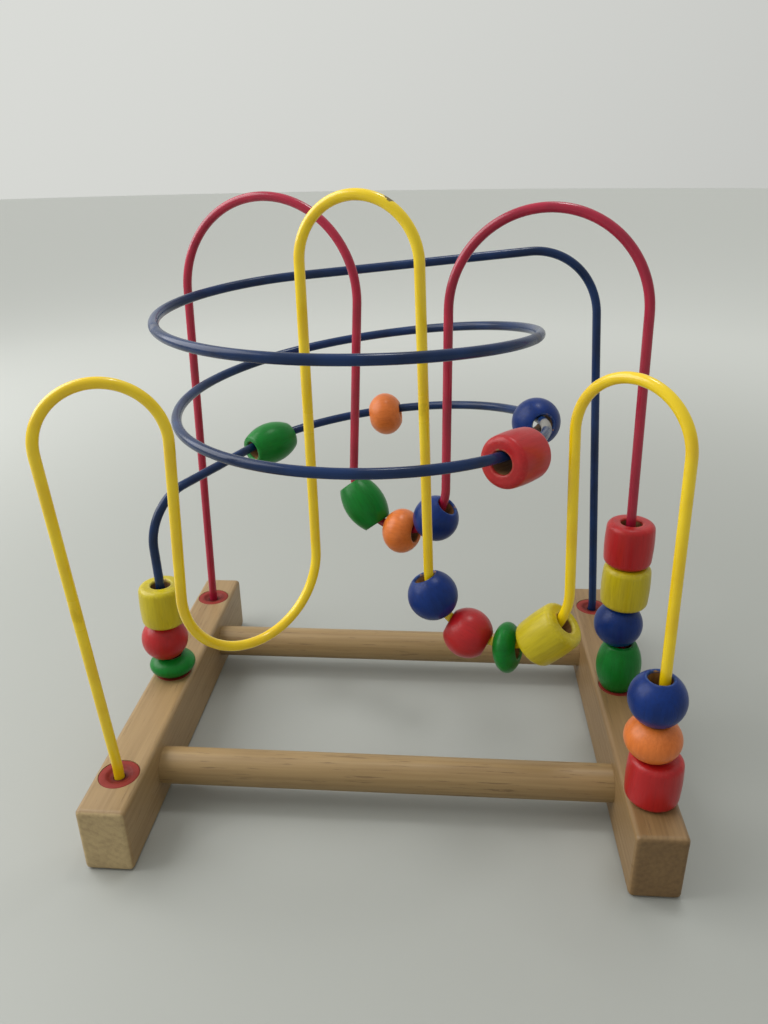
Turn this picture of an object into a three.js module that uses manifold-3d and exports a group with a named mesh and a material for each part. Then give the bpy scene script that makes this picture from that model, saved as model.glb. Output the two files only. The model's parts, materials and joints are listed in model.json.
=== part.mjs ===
// A bead maze: two drilled wooden bars, joined by two dowels, carry three bent coated wires threaded with
// beads. Millimetres, +Z up. The origin is on the table under the middle of the base, and +Y points away from
// the viewer.

import * as THREE from "three";
import { mergeVertices } from "three/addons/utils/BufferGeometryUtils.js";
import Module from "manifold-3d";

// Base bars
const barGap = 232; // clear width between the bars
const barWidth = 24;
const barHeight = 36;
const barLength = 226;
const barEdgeRadius = 2.5; // on the four long edges
const barEndRadius = 2; // round both ends

// Dowels between the bars
const dowelDiameter = 19;
const dowelHeight = 19; // axis above the table
const dowelSpacing = 120; // front axis to rear axis
const dowelSocketDepth = 14;
const dowelChamfer = 1;

// Bushings that hold the wire ends
const bushingDiameter = 20;
const bushingLength = 22;
const bushingSpacing = 87; // from the middle hole to the outer ones
const bushingRimRadius = 0.8;
const bushingDishDiameter = 11;
const bushingDishDepth = 2.5;

// Clearances
const seatClearance = 0.3; // round a glued or pressed piece
const restGap = 0.3; // between pieces that rest on each other

// Wire, and how its ends stand in the bushings
const wireDiameter = 5;
const wireSeatDepth = 16;
const footRise = 4; // upright length above the bar before a leg leans
const footBendRadius = 40;

// Each turn of a wire is an arch or a trough. x and y are the middle of its span in plan, heading is the way
// that it crosses in degrees from +X, span is the width between its corners, and crown is the height of its
// middle.
const yellowTurns = {
  leftArch: { x: -112, y: -82, heading: 20, span: 56, crown: 231 },
  leftTrough: { x: -63.5, y: -48, heading: 45, span: 78, crown: 90 },
  middleArch: { x: -11, y: -24, heading: -17, span: 56, crown: 297.5 },
  rightTrough: { x: 57, y: -32, heading: -20, span: 73, crown: 83 },
  rightArch: { x: 104, y: -64, heading: -45, span: 56, crown: 229.5 },
};
const redTurns = {
  leftArch: { x: -69.5, y: 73, heading: -15, span: 107, crown: 293 },
  trough: { x: 2, y: 42, heading: -26, span: 62, crown: 112 },
  rightArch: { x: 76.5, y: 23, heading: -13, span: 97, crown: 289 },
};

// Coil of the blue wire, seen from above: it climbs clockwise from its start angle
const coilX = -10;
const coilY = 13;
const coilRadius = 92.5;
const coilStartHeight = 159;
const coilPitch = 47;
const coilStartAngle = 149;
const coilEndAngle = -531;
const coilSideTilt = 4; // degrees, right side up
const coilFrontTilt = 1.4; // degrees, front side up
const coilDriftX = -6; // how far each turn sits from the one below
const coilDriftY = 1.5;
const coilEntryRadius = 28; // bend from the left leg into the coil
const coilExitLead = 71; // from the coil's end to the corner of its run to the right
const coilExitCorner = { x: 114, y: 105.5, z: 264 };
const coilExitRadius = 38;

// Beads
const beadBore = 11;
const beadMouth = 1; // rounding where the bore opens
const beadSizes = {
  ball: { diameter: 26, length: 22.5 },
  rondelle: { diameter: 26, length: 19 },
  disc: { diameter: 26, length: 12 },
  drum: { diameter: 25.5, length: 24, edgeRadius: 2.5 },
  barrel: { diameter: 24.5, length: 28, endDiameter: 16.5 },
};

// Where the beads lie, in degrees: the first bead of a trough from its lowest point, with the number of beads
// that can climb its left side, and the coil's beads round the coil
const frontTrough = { firstBead: -66, leftBeadCount: 2 };
const middleTrough = { firstBead: -50, leftBeadCount: 2 };
const coilBeadAngles = { green: 137, orange: 89, blue: 14, red: -37 };

// How far the beads travel, in degrees round the stretch of wire that they are on
const troughReach = 86; // up from a trough's lowest point
const troughSample = 0.2; // radians either side that set the circle of a trough
const coilReach = 55; // past the last bead on the coil
const coilSpare = 0.5; // left between beads that meet

// Facets
const wireSides = 10;
const bendStep = 15; // degrees
const coilStep = 9; // degrees
const roundSegments = 16;
const socketSegments = 24;
const barrelSteps = 5;
const edgeSteps = 3;
const shortestStretch = 0.03; // of a wire

const finishes = {
  wood: { color: 0xa98a60, roughness: 0.6 },
  bushing: { color: 0xa8443c, roughness: 0.5 },
  yellow: { color: 0xd2b41c, roughness: 0.45 },
  red: { color: 0xa81f22, roughness: 0.45 },
  blue: { color: 0x1c3c7c, roughness: 0.45 },
  green: { color: 0x137a2a, roughness: 0.45 },
  orange: { color: 0xd0682c, roughness: 0.45 },
  yellowWire: { color: 0xe2c414, roughness: 0.25 },
  redWire: { color: 0xa01a38, roughness: 0.25 },
  blueWire: { color: 0x16305c, roughness: 0.25 },
};

const wasm = await Module();
wasm.setup();

const toy = new THREE.Group();
const barX = (barGap + barWidth) / 2;
const beadPlay = (beadBore - wireDiameter) / 2 - restGap;

// Adds a mesh of one piece to the toy.
function addPiece(name, geometry, finish) {
  const material = new THREE.MeshStandardMaterial({ ...finish, metalness: 0 });
  const mesh = new THREE.Mesh(geometry, material);
  mesh.name = name;
  toy.add(mesh);
  return mesh;
}

// Turns a closed geometry into a solid for cutting.
function toSolid(geometry) {
  const bare = geometry.clone();
  bare.deleteAttribute("normal");
  bare.deleteAttribute("uv");
  const merged = mergeVertices(bare, 1e-4);
  const vertProperties = new Float32Array(merged.attributes.position.array);
  const triVerts = new Uint32Array(merged.index.array);
  return new wasm.Manifold(new wasm.Mesh({ numProp: 3, vertProperties, triVerts }));
}

// Turns a cut solid back into a geometry.
function toGeometry(solid) {
  const mesh = solid.getMesh();
  const geometry = new THREE.BufferGeometry();
  geometry.setAttribute("position", new THREE.BufferAttribute(mesh.vertProperties, 3));
  geometry.setIndex(new THREE.BufferAttribute(mesh.triVerts, 1));
  geometry.computeVertexNormals();
  return geometry;
}

// Revolves a profile of [radius, height] points about +Z.
function revolve(profile) {
  const points = profile.map(([radius, height]) => new THREE.Vector2(radius, height));
  return new THREE.LatheGeometry(points, roundSegments).rotateX(Math.PI / 2);
}

// Points of an arc in a profile, from one angle to another in degrees.
function arcPoints(centreRadius, centreHeight, radiusAcross, radiusAlong, from, to, steps) {
  return Array.from({ length: steps + 1 }, (unused, index) => {
    const angle = THREE.MathUtils.degToRad(from + ((to - from) * index) / steps);
    return [centreRadius + radiusAcross * Math.cos(angle), centreHeight + radiusAlong * Math.sin(angle)];
  });
}

// BASE

// A plain bar with its long edges and its ends rounded, lying along Y on the table.
function barBlank() {
  const halfWidth = barWidth / 2 - barEdgeRadius;
  const halfHeight = barHeight / 2 - barEdgeRadius;
  const section = new THREE.Shape();
  section.absarc(halfWidth, halfHeight, barEdgeRadius, 0, Math.PI / 2);
  section.absarc(-halfWidth, halfHeight, barEdgeRadius, Math.PI / 2, Math.PI);
  section.absarc(-halfWidth, -halfHeight, barEdgeRadius, Math.PI, 1.5 * Math.PI);
  section.absarc(halfWidth, -halfHeight, barEdgeRadius, 1.5 * Math.PI, 2 * Math.PI);
  const blank = new THREE.ExtrudeGeometry(section, {
    depth: barLength - 2 * barEndRadius,
    curveSegments: edgeSteps / 2,
    bevelEnabled: true,
    bevelThickness: barEndRadius,
    bevelSize: barEndRadius,
    bevelOffset: -barEndRadius,
    bevelSegments: edgeSteps,
  });
  return blank
    .translate(0, 0, barEndRadius - barLength / 2)
    .rotateX(Math.PI / 2)
    .translate(0, 0, barHeight / 2);
}

// A round tool that cuts a socket, centred on the origin along +Y.
function socketTool(diameter, length) {
  return new THREE.CylinderGeometry(diameter / 2, diameter / 2, length, socketSegments);
}

// A bar with three bushing sockets in its top and two blind dowel sockets in its inner face.
function addBar(name, side) {
  let bar = toSolid(barBlank());
  for (const row of [-1, 0, 1]) {
    const tool = socketTool(bushingDiameter + 2 * seatClearance, 2 * (bushingLength + seatClearance));
    tool.rotateX(Math.PI / 2).translate(0, row * bushingSpacing, barHeight);
    bar = bar.subtract(toSolid(tool));
  }
  for (const row of [-1, 1]) {
    const tool = socketTool(dowelDiameter + 2 * seatClearance, 2 * (dowelSocketDepth + seatClearance));
    tool.rotateZ(Math.PI / 2).translate((-side * barWidth) / 2, (row * dowelSpacing) / 2, dowelHeight);
    bar = bar.subtract(toSolid(tool));
  }
  addPiece(name, toGeometry(bar), finishes.wood).position.x = side * barX;
}

// A dowel with chamfered ends, glued into both bars.
function addDowel(name, row) {
  const halfLength = barGap / 2 + dowelSocketDepth;
  const radius = dowelDiameter / 2;
  const profile = [
    [0, -halfLength],
    [radius - dowelChamfer, -halfLength],
    [radius, dowelChamfer - halfLength],
    [radius, halfLength - dowelChamfer],
    [radius - dowelChamfer, halfLength],
    [0, halfLength],
  ];
  const dowel = addPiece(name, revolve(profile).rotateY(Math.PI / 2), finishes.wood);
  dowel.position.set(0, (row * dowelSpacing) / 2, dowelHeight);
}

// A bushing pressed flush into a bar: a dished mouth, then a blind bore that the wire's end stands in.
function addBushing(name, side, row) {
  const outer = bushingDiameter / 2;
  const rim = bushingRimRadius;
  const bore = wireDiameter / 2 + seatClearance;
  const profile = [
    [0, -bushingLength],
    [outer, -bushingLength],
    ...arcPoints(outer - rim, -rim, rim, rim, 0, 90, edgeSteps),
    ...arcPoints(bore, 0, bushingDishDiameter / 2 - bore, -bushingDishDepth, 0, 90, edgeSteps),
    [bore, -wireSeatDepth - seatClearance],
    [0, -wireSeatDepth - seatClearance],
  ];
  const bushing = addPiece(name, revolve(profile), finishes.bushing);
  bushing.position.set(side * barX, row * bushingSpacing, barHeight);
}

// WIRES

// A bent wire as a chain of straight, round and coiled stretches. Its parameter follows the facets, so that
// the bends get their share, and its stations are lengths along the wire.
class BentWire extends THREE.Curve {
  constructor() {
    super();
    this.stretches = [];
    this.stepCount = 0;
    this.wireLength = 0;
  }

  add(kind, length, steps, pointAt) {
    if (length < shortestStretch) {
      return;
    }
    const place = { firstStep: this.stepCount, station: this.wireLength };
    this.stretches.push({ kind, length, steps, pointAt, ...place });
    this.stepCount += steps;
    this.wireLength += length;
  }

  addLine(start, end) {
    this.add("line", start.distanceTo(end), 1, (share) => start.clone().lerp(end, share));
  }

  // A bend of a given radius at a corner, whose ends are on the lines to the points before and after.
  addBend(before, corner, after, radius) {
    const toBefore = before.clone().sub(corner).normalize();
    const toAfter = after.clone().sub(corner).normalize();
    const halfAngle = toBefore.angleTo(toAfter) / 2;
    const middle = toBefore.clone().add(toAfter).setLength(radius / Math.sin(halfAngle));
    const centre = corner.clone().add(middle);
    const reach = radius / Math.tan(halfAngle);
    const arm = corner.clone().addScaledVector(toBefore, reach).sub(centre);
    const sweep = Math.PI - 2 * halfAngle;
    const forward = toBefore.clone().negate().multiplyScalar(radius);
    const steps = Math.max(1, Math.round(THREE.MathUtils.radToDeg(sweep) / bendStep));
    this.add("bend", radius * sweep, steps, (share) => {
      const angle = sweep * share;
      return centre.clone().addScaledVector(arm, Math.cos(angle)).addScaledVector(forward, Math.sin(angle));
    });
  }

  // Straight stretches through a row of corners, with a bend at each corner between the ends.
  addRoute(points, radii) {
    let from = points[0];
    points.slice(1, -1).forEach((corner, index) => {
      const before = points[index];
      const after = points[index + 2];
      const reach = radii[index] / Math.tan(cornerAngle(before, corner, after) / 2);
      this.addLine(from, towards(corner, before, reach));
      this.addBend(before, corner, after, radii[index]);
      from = towards(corner, after, reach);
    });
    this.addLine(from, points[points.length - 1]);
  }

  // The straight stretch above the foot where the wire starts, and above the foot where it ends.
  legs() {
    const lines = this.stretches.filter((stretch) => stretch.kind === "line");
    return { first: lines[1], last: lines.at(-2) };
  }

  getUtoTmapping(share) {
    return share;
  }

  getPoint(share) {
    const step = share * this.stepCount;
    const found = this.stretches.findLast((stretch) => stretch.firstStep <= step) ?? this.stretches[0];
    return found.pointAt(Math.min(1, (step - found.firstStep) / found.steps));
  }

  pointAtStation(station) {
    const found = this.stretches.findLast((stretch) => stretch.station <= station) ?? this.stretches[0];
    return found.pointAt((station - found.station) / found.length);
  }

  // The circle that the wire follows from behind a station to ahead of it: its centre, and an axis that turns
  // forwards along the wire.
  circleAtStation(station, behind, beyond) {
    const here = this.pointAtStation(station);
    const back = this.pointAtStation(station - behind).sub(here);
    const ahead = this.pointAtStation(station + beyond).sub(here);
    const normal = back.clone().cross(ahead);
    const toCentre = normal.clone().cross(back).multiplyScalar(ahead.lengthSq());
    toCentre.add(ahead.clone().cross(normal).multiplyScalar(back.lengthSq()));
    toCentre.divideScalar(2 * normal.lengthSq());
    return { centre: here.add(toCentre), axis: normal.negate().normalize() };
  }
}

function towards(start, goal, distance) {
  return start.clone().add(goal.clone().sub(start).setLength(distance));
}

function cornerAngle(before, corner, after) {
  return before.clone().sub(corner).angleTo(after.clone().sub(corner));
}

// The end of a wire in its bushing and the top of its upright stub, from the bottom up.
function footPoints(side, row) {
  const end = new THREE.Vector3(side * barX, row * bushingSpacing, barHeight - wireSeatDepth);
  const stub = end.clone().setZ(barHeight + footRise);
  return [end, stub];
}

// The two corners of a turn.
function turnCorners({ x, y, heading, span, crown }) {
  const angle = THREE.MathUtils.degToRad(heading);
  const half = new THREE.Vector3(Math.cos(angle), Math.sin(angle), 0).multiplyScalar(span / 2);
  const middle = new THREE.Vector3(x, y, crown);
  return [middle.clone().sub(half), middle.clone().add(half)];
}

// A wire that stands in two bushings and winds up and down through a row of turns. Both bends of a turn have
// the radius that fills its span.
function turningWire(firstFoot, turns, lastFoot) {
  const points = [...firstFoot, ...Object.values(turns).flatMap(turnCorners), ...lastFoot.toReversed()];
  const radii = [footBendRadius];
  for (let first = 2; first < points.length - 2; first += 2) {
    const [before, start, end, after] = points.slice(first - 1, first + 3);
    const reaches =
      1 / Math.tan(cornerAngle(before, start, end) / 2) + 1 / Math.tan(cornerAngle(start, end, after) / 2);
    const radius = start.distanceTo(end) / reaches;
    radii.push(radius, radius);
  }
  radii.push(footBendRadius);
  const wire = new BentWire();
  wire.addRoute(points, radii);
  const bends = wire.stretches.filter((stretch) => stretch.kind === "bend");
  wire.turnMiddles = {};
  Object.keys(turns).forEach((name, index) => {
    const secondBend = 2 * index + 2;
    wire.turnMiddles[name] = { station: bends[secondBend].station, radius: radii[secondBend] };
  });
  return wire;
}

// A point of the coil at an angle in degrees.
function coilPoint(degrees) {
  const angle = THREE.MathUtils.degToRad(degrees);
  const turn = (coilStartAngle - degrees) / 360;
  const across = coilRadius * Math.cos(angle);
  const away = coilRadius * Math.sin(angle);
  const sideRise = across * Math.tan(THREE.MathUtils.degToRad(coilSideTilt));
  const frontRise = -away * Math.tan(THREE.MathUtils.degToRad(coilFrontTilt));
  return new THREE.Vector3(
    coilX + coilDriftX * turn + across,
    coilY + coilDriftY * turn + away,
    coilStartHeight + coilPitch * turn + sideRise + frontRise,
  );
}

// The way that the coil climbs at an angle in degrees.
function coilDirection(degrees) {
  const sampleDegrees = 0.01;
  return coilPoint(degrees - sampleDegrees).sub(coilPoint(degrees + sampleDegrees)).normalize();
}

// The corner above the left leg, where the line into the coil's start passes over the bar's row of bushings.
function coilEntryCorner(stub) {
  const start = coilPoint(coilStartAngle);
  const direction = coilDirection(coilStartAngle);
  return start.addScaledVector(direction, (stub.x - start.x) / direction.x);
}

// The wire that climbs from the left bar into the coil and leaves it for the right bar.
function coilWire(firstFoot, lastFoot) {
  const start = coilPoint(coilStartAngle);
  const end = coilPoint(coilEndAngle);
  const wire = new BentWire();
  wire.addRoute([...firstFoot, coilEntryCorner(firstFoot[1]), start], [footBendRadius, coilEntryRadius]);

  const sweep = coilStartAngle - coilEndAngle;
  const steps = Math.round(sweep / coilStep);
  const turnLength = Math.hypot(2 * Math.PI * coilRadius, coilPitch);
  const angleAt = (share) => coilStartAngle - sweep * share;
  wire.add("coil", (turnLength * sweep) / 360, steps, (share) => coilPoint(angleAt(share)));

  const lead = end.clone().addScaledVector(coilDirection(coilEndAngle), coilExitLead);
  const corner = new THREE.Vector3(coilExitCorner.x, coilExitCorner.y, coilExitCorner.z);
  const leadRadius = coilExitLead * Math.tan(cornerAngle(end, lead, corner) / 2);
  wire.addRoute([end, lead, corner, ...lastFoot.toReversed()], [leadRadius, coilExitRadius, footBendRadius]);
  return wire;
}

function addWire(name, wire, finish) {
  const section = new THREE.Shape();
  section.absarc(0, 0, wireDiameter / 2, 0, 2 * Math.PI);
  const geometry = new THREE.ExtrudeGeometry(section, {
    steps: wire.stepCount,
    curveSegments: wireSides / 2,
    extrudePath: wire,
  });
  addPiece(name, geometry, finish);
}

// BEADS

// Half the axis along the bore of the oval that gives a round bead its length at the edge of its mouth.
function ovalHalfAxis({ diameter, length }) {
  const mouth = beadBore + 2 * beadMouth;
  return length / 2 / Math.sqrt(1 - (mouth / diameter) ** 2);
}

// The outside of a bead from its lower mouth to its upper one.
function beadOutline(size) {
  const half = size.length / 2;
  const radius = size.diameter / 2;
  const mouthRadius = beadBore / 2 + beadMouth;
  if (size.edgeRadius) {
    const edge = size.edgeRadius;
    return [
      [mouthRadius, -half],
      ...arcPoints(radius - edge, edge - half, edge, edge, -90, 0, edgeSteps),
      ...arcPoints(radius - edge, half - edge, edge, edge, 0, 90, edgeSteps),
      [mouthRadius, half],
    ];
  }
  if (size.endDiameter) {
    const bulge = radius - size.endDiameter / 2;
    const sideRadius = (half * half + bulge * bulge) / (2 * bulge);
    const sweep = THREE.MathUtils.radToDeg(Math.asin(half / sideRadius));
    const side = arcPoints(radius - sideRadius, 0, sideRadius, sideRadius, -sweep, sweep, barrelSteps);
    return [[mouthRadius, -half], ...side, [mouthRadius, half]];
  }
  const halfAxis = ovalHalfAxis(size);
  const sweep = THREE.MathUtils.radToDeg(Math.acos(mouthRadius / radius));
  return arcPoints(0, 0, radius, halfAxis, -sweep, sweep, barrelSteps + 2);
}

// A bead with its bore along +Z, whose mouths are rounded off.
function beadGeometry(size) {
  const bore = beadBore / 2;
  const half = size.length / 2;
  const profile = [...beadOutline(size), [bore, half - beadMouth], [bore, beadMouth - half]];
  return revolve([...profile, profile[0]]);
}

// Half the angle that a bead takes up on a round stretch of wire, seen from the stretch's centre.
function sectorAngle(size, wireRadius) {
  const half = size.length / 2;
  if (size.edgeRadius) {
    return Math.atan2(half, wireRadius - (size.diameter / 2 - size.edgeRadius));
  }
  if (size.endDiameter) {
    return Math.atan2(half, wireRadius - size.endDiameter / 2);
  }
  return Math.atan2(ovalHalfAxis(size), Math.sqrt(wireRadius ** 2 - (size.diameter / 2) ** 2));
}

// How far a bead hangs below a wire, so that its bore rests on the wire at the tightest place along the bead.
function hangingDrop(wire, station, direction, down, length) {
  const here = wire.pointAtStation(station);
  const samples = [-0.5, -0.25, 0, 0.25, 0.5];
  const drops = samples.map((share) => {
    const offset = wire.pointAtStation(station + share * length).sub(here);
    offset.addScaledVector(direction, -offset.dot(direction));
    const along = offset.dot(down);
    return along + Math.sqrt(Math.max(0, beadPlay ** 2 - offset.lengthSq() + along ** 2));
  });
  return Math.min(...drops);
}

function addBead(name, kind, colour) {
  return addPiece(name, beadGeometry(beadSizes[kind]), finishes[colour]);
}

// A bead that hangs on a wire at a station, and turns with the wire round the stretch that it is on.
function addHangingBead(name, kind, colour, wire, station, travel) {
  const bead = addBead(name, kind, colour);
  const reach = beadSizes[kind].length / 2;
  const direction = wire.pointAtStation(station + reach);
  direction.sub(wire.pointAtStation(station - reach)).normalize();
  const down = new THREE.Vector3(0, 0, -1).addScaledVector(direction, direction.z).normalize();
  const drop = hangingDrop(wire, station, direction, down, beadSizes[kind].length);
  bead.position.copy(wire.pointAtStation(station)).addScaledVector(down, drop);
  bead.quaternion.setFromUnitVectors(new THREE.Vector3(0, 0, 1), direction);
  const { centre, axis } = wire.circleAtStation(station, travel.behind, travel.beyond);
  bead.userData.motion = { joint: "hinge", parent: travel.parent, pivot: centre, axis, range: travel.range };
  return bead;
}

// Beads that lie side by side in a trough, from its left side to its right one. The first few climb the left
// side and the others the right side, each pushed by its inner neighbour.
function addTroughBeads(wire, { station, radius }, { firstBead, leftBeadCount }, beads) {
  const sectors = beads.map(([, kind]) => sectorAngle(beadSizes[kind], radius));
  const angles = [THREE.MathUtils.degToRad(firstBead)];
  for (let index = 1; index < beads.length; index += 1) {
    angles.push(angles[index - 1] + sectors[index - 1] + sectors[index] + restGap / radius);
  }
  const leftShare = (-troughReach - firstBead) / leftBeadCount;
  const rightShare =
    (troughReach - THREE.MathUtils.radToDeg(angles[beads.length - 1])) / (beads.length - leftBeadCount);
  beads.forEach(([name, kind, colour], index) => {
    const goesLeft = index < leftBeadCount;
    const inner = goesLeft ? index + 1 : index - 1;
    const isInnermost = goesLeft ? inner === leftBeadCount : inner === leftBeadCount - 1;
    const travel = {
      parent: isInnermost ? "base" : beads[inner][0],
      range: goesLeft ? [leftShare, 0] : [0, rightShare],
      behind: radius * troughSample,
      beyond: radius * troughSample,
    };
    addHangingBead(name, kind, colour, wire, station + angles[index] * radius, travel);
  });
}

// Beads that lie on the coil. Neighbours share the free wire between them.
function addCoilBeads(wire, beads) {
  const coil = wire.stretches.find((stretch) => stretch.kind === "coil");
  const stationPerDegree = coil.length / (coilStartAngle - coilEndAngle);
  const places = beads.map(([, kind, colour]) => {
    const sector = THREE.MathUtils.radToDeg(sectorAngle(beadSizes[kind], coilRadius));
    return { angle: coilBeadAngles[colour], sector };
  });
  const halfGap = (first, second) => {
    const between = first.angle - second.angle - first.sector - second.sector;
    return between / 2 - coilSpare;
  };
  beads.forEach(([name, kind, colour], index) => {
    const { angle, sector } = places[index];
    const back = index === 0 ? coilStartAngle - angle - sector : halfGap(places[index - 1], places[index]);
    const ahead = index === beads.length - 1 ? coilReach : halfGap(places[index], places[index + 1]);
    const travel = {
      parent: "base",
      range: [-back, ahead],
      behind: back * stationPerDegree,
      beyond: ahead * stationPerDegree,
    };
    const station = coil.station + (coilStartAngle - angle) * stationPerDegree;
    addHangingBead(name, kind, colour, wire, station, travel);
  });
}

// Beads that stand on each other round a leg, from the bar upwards. Each has slipped as far left as its bore
// lets it, or stands square on the leg. Each lifts those above it, and they share the leg's free run.
function addStackBeads(leg, beads) {
  const [low, high] = [leg.pointAt(0), leg.pointAt(1)].sort((first, second) => first.z - second.z);
  const axis = high.clone().sub(low).normalize();
  const lean = Math.hypot(axis.x, axis.y) / axis.z;
  const heights = beads.map(([, kind]) => beadSizes[kind].length + restGap);
  const stackTop = barHeight + heights.reduce((sum, height) => sum + height, 0);
  const share = (high.z - stackTop) / beads.length;
  let floor = barHeight + restGap;
  beads.forEach(([name, kind, colour, slipped], index) => {
    const bead = addBead(name, kind, colour);
    const half = beadSizes[kind].length / 2;
    bead.position.copy(low).addScaledVector(axis, (floor + half - low.z) / axis.z);
    bead.position.x -= slipped ? beadPlay - lean * half : 0;
    const parent = index === 0 ? "base" : beads[index - 1][0];
    bead.userData.motion = { joint: "slide", parent, axis, range: [0, share] };
    floor += heights[index];
  });
}

// ASSEMBLY

const sides = { left: -1, right: 1 };
const rows = { front: -1, middle: 0, rear: 1 };
for (const [sideName, side] of Object.entries(sides)) {
  addBar(`base_bar_${sideName}`, side);
  for (const [rowName, row] of Object.entries(rows)) {
    addBushing(`bushing_${sideName}_${rowName}`, side, row);
  }
}
addDowel("dowel_front", rows.front);
addDowel("dowel_rear", rows.rear);

const yellowWire = turningWire(
  footPoints(sides.left, rows.front),
  yellowTurns,
  footPoints(sides.right, rows.front),
);
const redWire = turningWire(
  footPoints(sides.left, rows.rear),
  redTurns,
  footPoints(sides.right, rows.middle),
);
const blueWire = coilWire(footPoints(sides.left, rows.middle), footPoints(sides.right, rows.rear));
addWire("yellow_wire", yellowWire, finishes.yellowWire);
addWire("red_wire", redWire, finishes.redWire);
addWire("blue_wire", blueWire, finishes.blueWire);

addTroughBeads(yellowWire, yellowWire.turnMiddles.rightTrough, frontTrough, [
  ["front_trough_blue_ball", "ball", "blue"],
  ["front_trough_red_ball", "ball", "red"],
  ["front_trough_green_disc", "disc", "green"],
  ["front_trough_yellow_drum", "drum", "yellow"],
]);
addTroughBeads(redWire, redWire.turnMiddles.trough, middleTrough, [
  ["middle_trough_green_barrel", "barrel", "green"],
  ["middle_trough_orange_rondelle", "rondelle", "orange"],
  ["middle_trough_blue_ball", "ball", "blue"],
]);
addCoilBeads(blueWire, [
  ["coil_green_barrel", "barrel", "green"],
  ["coil_orange_rondelle", "rondelle", "orange"],
  ["coil_blue_ball", "ball", "blue"],
  ["coil_red_drum", "drum", "red"],
]);
addStackBeads(yellowWire.legs().last, [
  ["front_stack_red_drum", "drum", "red", false],
  ["front_stack_orange_rondelle", "rondelle", "orange", true],
  ["front_stack_blue_ball", "ball", "blue", true],
]);
addStackBeads(redWire.legs().last, [
  ["right_stack_green_barrel", "barrel", "green", false],
  ["right_stack_blue_ball", "ball", "blue", true],
  ["right_stack_yellow_drum", "drum", "yellow", false],
  ["right_stack_red_drum", "drum", "red", false],
]);
addStackBeads(blueWire.legs().first, [
  ["left_stack_green_disc", "disc", "green", false],
  ["left_stack_red_ball", "ball", "red", true],
  ["left_stack_yellow_drum", "drum", "yellow", false],
]);

export default toy;
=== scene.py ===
"""The looks of a bead maze toy: a wooden base, bent coated wires and painted wooden beads threaded on them.

Sizes are in millimetres until a mesh is made, and meshes are in metres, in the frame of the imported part.
"""

import json
import logging
import math
from collections.abc import Callable, Mapping, Sequence
from dataclasses import dataclass, field
from enum import Enum

import bmesh
import bpy
import numpy as np
from mathutils import Matrix, Vector


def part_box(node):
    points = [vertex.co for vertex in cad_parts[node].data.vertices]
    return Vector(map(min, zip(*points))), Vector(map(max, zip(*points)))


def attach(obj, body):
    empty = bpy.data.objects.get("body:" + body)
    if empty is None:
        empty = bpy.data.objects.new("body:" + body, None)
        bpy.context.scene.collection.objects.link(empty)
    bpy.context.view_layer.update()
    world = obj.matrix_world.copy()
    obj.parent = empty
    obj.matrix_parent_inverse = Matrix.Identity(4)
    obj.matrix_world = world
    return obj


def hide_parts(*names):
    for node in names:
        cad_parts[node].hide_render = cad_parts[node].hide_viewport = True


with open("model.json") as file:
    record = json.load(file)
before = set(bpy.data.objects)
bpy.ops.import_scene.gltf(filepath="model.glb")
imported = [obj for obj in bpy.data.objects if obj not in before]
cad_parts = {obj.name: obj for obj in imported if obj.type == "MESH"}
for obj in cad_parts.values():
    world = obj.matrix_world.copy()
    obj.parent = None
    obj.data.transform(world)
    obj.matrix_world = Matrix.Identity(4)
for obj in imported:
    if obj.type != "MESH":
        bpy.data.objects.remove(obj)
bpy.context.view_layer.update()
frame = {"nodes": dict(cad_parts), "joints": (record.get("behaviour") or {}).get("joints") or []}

log = logging.getLogger("bead_maze")
MM = 0.001
ON_AXIS = 1e-6  # a profile point with a smaller radius is on the axis
Colour = tuple[float, float, float, float]


class Axis(Enum):
    """A direction of the row frame."""

    X = 0
    Y = 1
    Z = 2


class BeadKind(Enum):
    """The shapes that the beads are turned to."""

    BALL = "ball"
    RONDELLE = "rondelle"
    DISC = "disc"
    DRUM = "drum"
    BARREL = "barrel"


# SHADER GRAPHS


def paint(code: str) -> Colour:
    """Turns a colour written as six hexadecimal digits into linear light.

    Args:
        code: The red, green and blue of the colour as a screen shows it.

    Returns:
        The linear colour with full opacity.
    """
    shown = [int(code[index : index + 2], 16) / 255 for index in (0, 2, 4)]
    linear = [part / 12.92 if part <= 0.04045 else ((part + 0.055) / 1.055) ** 2.4 for part in shown]
    return (linear[0], linear[1], linear[2], 1.0)


class Nodes:
    """A node tree, and a short way to add to it."""

    def __init__(self, tree: bpy.types.NodeTree) -> None:
        """Wraps a tree."""
        self.tree = tree

    def node(
        self,
        kind: str,
        settings: Mapping[str, object] | None = None,
        inputs: Mapping[int | str, object] | None = None,
    ) -> bpy.types.Node:
        """Adds a node.

        Args:
            kind: The node's type.
            settings: Its settings by name, which are set first.
            inputs: The values or links of its sockets, by name or number.

        Returns:
            The node.
        """
        made = self.tree.nodes.new(kind)
        for name, value in (settings or {}).items():
            setattr(made, name, value)
        for key, value in (inputs or {}).items():
            self.feed(made.inputs[key], value)
        return made

    def feed(self, socket: bpy.types.NodeSocket, value: object) -> None:
        """Links a socket to a level or another socket, or sets its value."""
        source = value.socket if isinstance(value, Level) else value
        if isinstance(source, bpy.types.NodeSocket):
            self.tree.links.new(source, socket)
        else:
            socket.default_value = source


def both_forms(operation: str) -> tuple[Callable[..., "Level"], Callable[..., "Level"]]:
    """Makes an operator of Level and its reflected form.

    Args:
        operation: The name of the Math node's operation.

    Returns:
        The operator, and the form for a number on its left.
    """

    def plain(self: "Level", other: "Level | float") -> "Level":
        """This level, then the other value."""
        return self.math(operation, self, other)

    def reflected(self: "Level", other: float) -> "Level":
        """The other value, then this level."""
        return self.math(operation, other, self)

    return plain, reflected


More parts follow.
